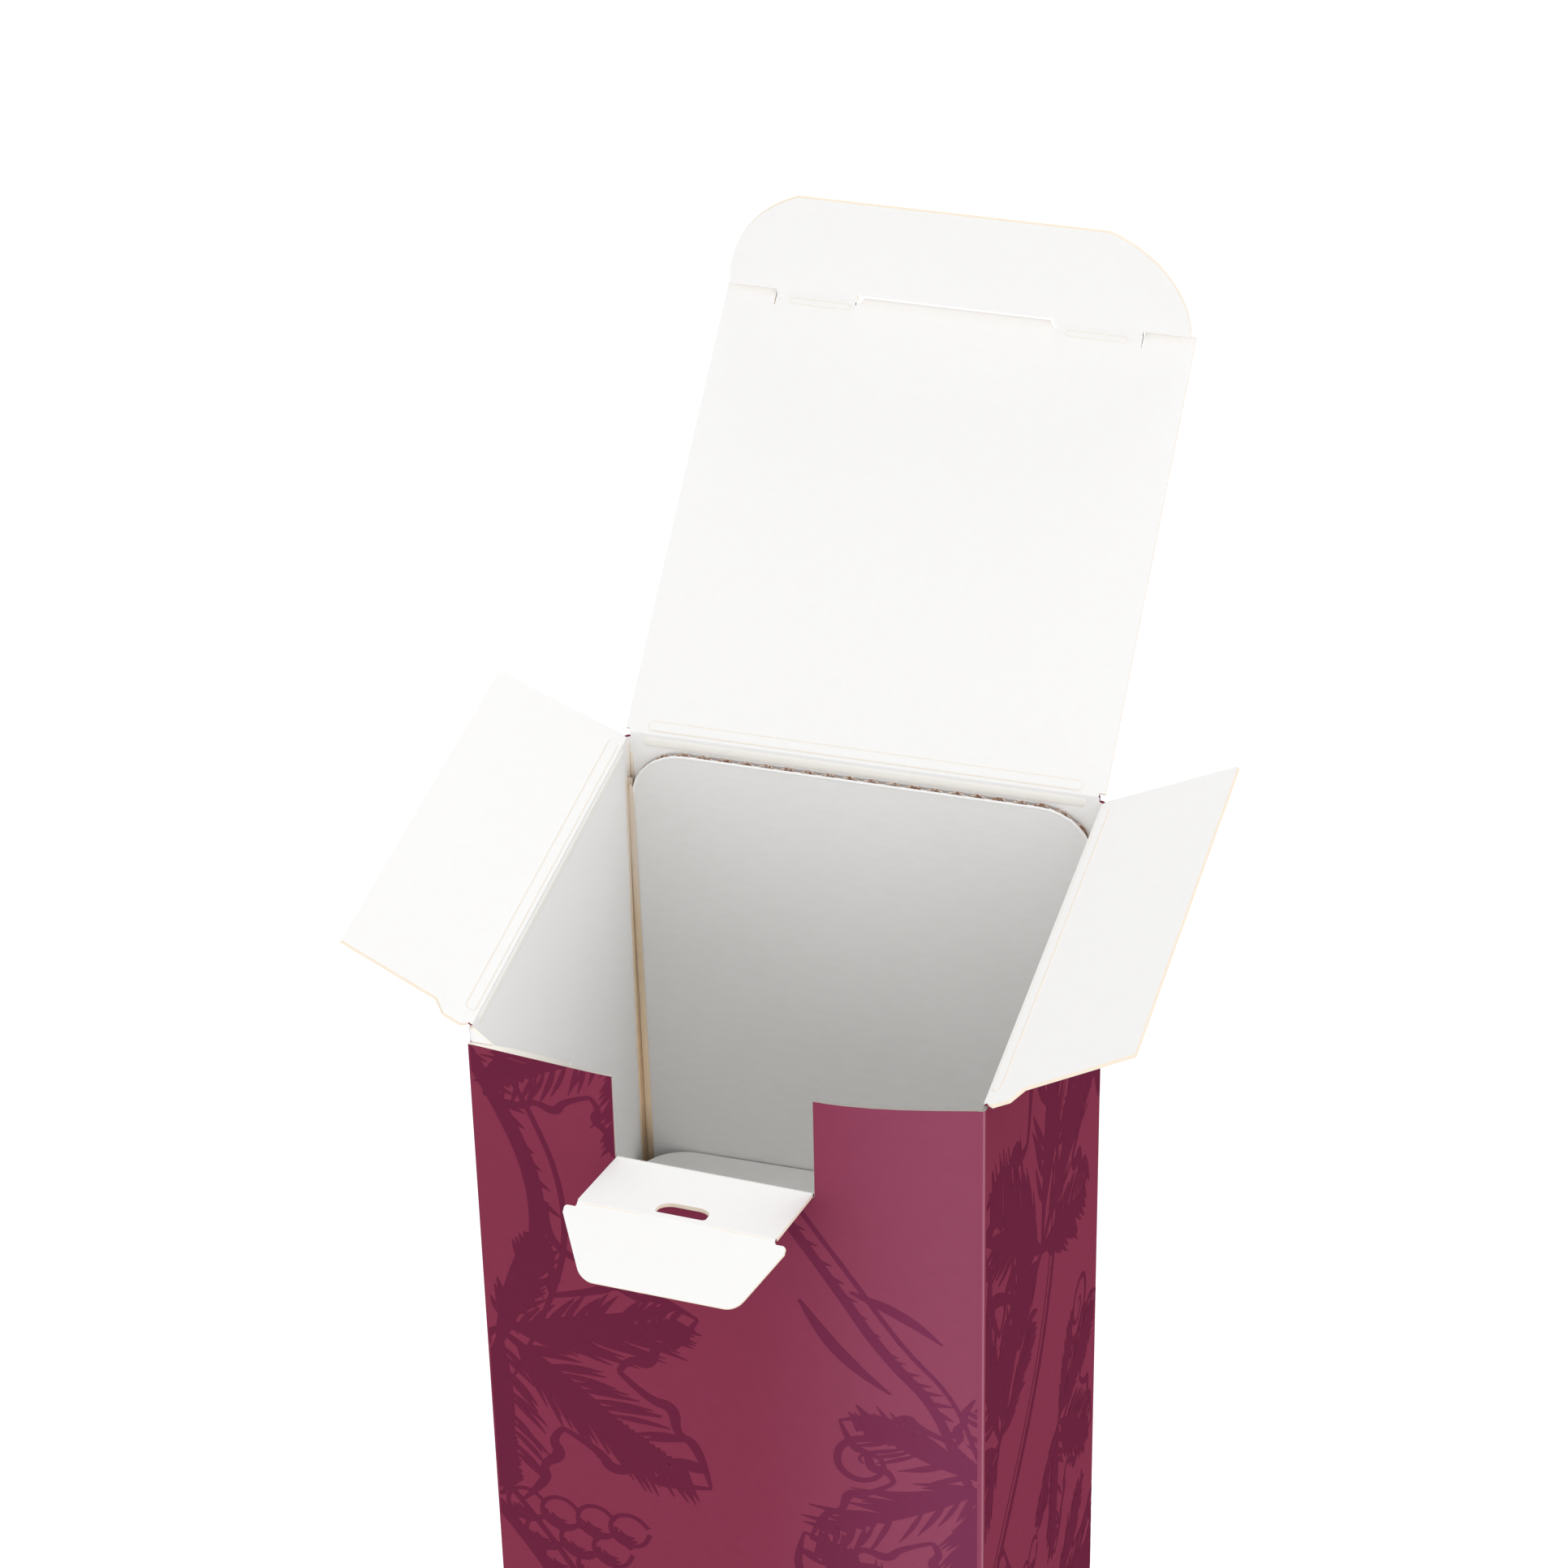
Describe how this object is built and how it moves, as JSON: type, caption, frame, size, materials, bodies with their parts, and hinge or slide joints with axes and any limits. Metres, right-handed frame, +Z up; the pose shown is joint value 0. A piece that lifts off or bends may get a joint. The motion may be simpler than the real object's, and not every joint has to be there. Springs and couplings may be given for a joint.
{
  "type": "bottle shipping box",
  "caption": "Tall narrow folding carton, printed outside, with a hinged tuck lid, dust flaps, a lock tab on its bowed front wall and a corrugated insert with a neck collar.",
  "frame": {"origin": "middle of the closed bottom, on the floor", "axes": "+Z up, -Y out of the front wall with the lock tab, +Y out of the back wall that carries the lid, +X to the right seen from the front"},
  "size_m": [0.1219, 0.1764, 0.389],
  "materials": {
    "printed_board": "folding board printed burgundy outside, matt; bare white inside",
    "white_board": "uncoated white folding board",
    "corrugated_board": "single-wall corrugated board, white liners over a brown flute"
  },
  "bodies": {
    "carton": {"carton_body": "printed_board", "insert": "corrugated_board"},
    "lid": {"lid": "white_board"},
    "tuck": {"tuck_flap": "white_board"},
    "dust_left": {"dust_flap_left": "white_board"},
    "dust_right": {"dust_flap_right": "white_board"},
    "tab": {"lock_tab": "white_board"},
    "tongue": {"lock_tongue": "white_board"}
  },
  "joints": [
    {"name": "lid_hinge", "type": "hinge", "parent": "carton", "child": "lid", "pos_m": [0, 0.0405, 0.3209], "axis": [1, 0, 0], "range_deg": [-36.3, 143.7]},
    {"name": "tuck_fold", "type": "hinge", "parent": "lid", "child": "tuck", "pos_m": [0, 0.10465, 0.36802], "axis": [1, 0, 0], "range_deg": [-8.4, 33.1]},
    {"name": "dust_left_fold", "type": "hinge", "parent": "carton", "child": "dust_left", "pos_m": [-0.0397, 0, 0.32], "axis": [0, 1, 0], "range_deg": [-28.3, 151.7]},
    {"name": "dust_right_fold", "type": "hinge", "parent": "carton", "child": "dust_right", "pos_m": [0.0397, 0, 0.32], "axis": [0, -1, 0], "range_deg": [-29, 151]},
    {"name": "lock_tab_fold", "type": "hinge", "parent": "carton", "child": "tab", "pos_m": [-0.0009, -0.04394, 0.3014], "axis": [-0.9991, 0.0418, 0], "range_deg": [-71, 74]},
    {"name": "lock_tongue_fold", "type": "hinge", "parent": "tab", "child": "tongue", "pos_m": [-0.00162, -0.06097, 0.30671], "axis": [-0.9991, 0.0418, 0], "range_deg": [-7, 139]}
  ],
  "couplings": [
    {"joint": "tuck_fold", "follows": "lid_hinge", "ratio": 0.23}
  ]
}
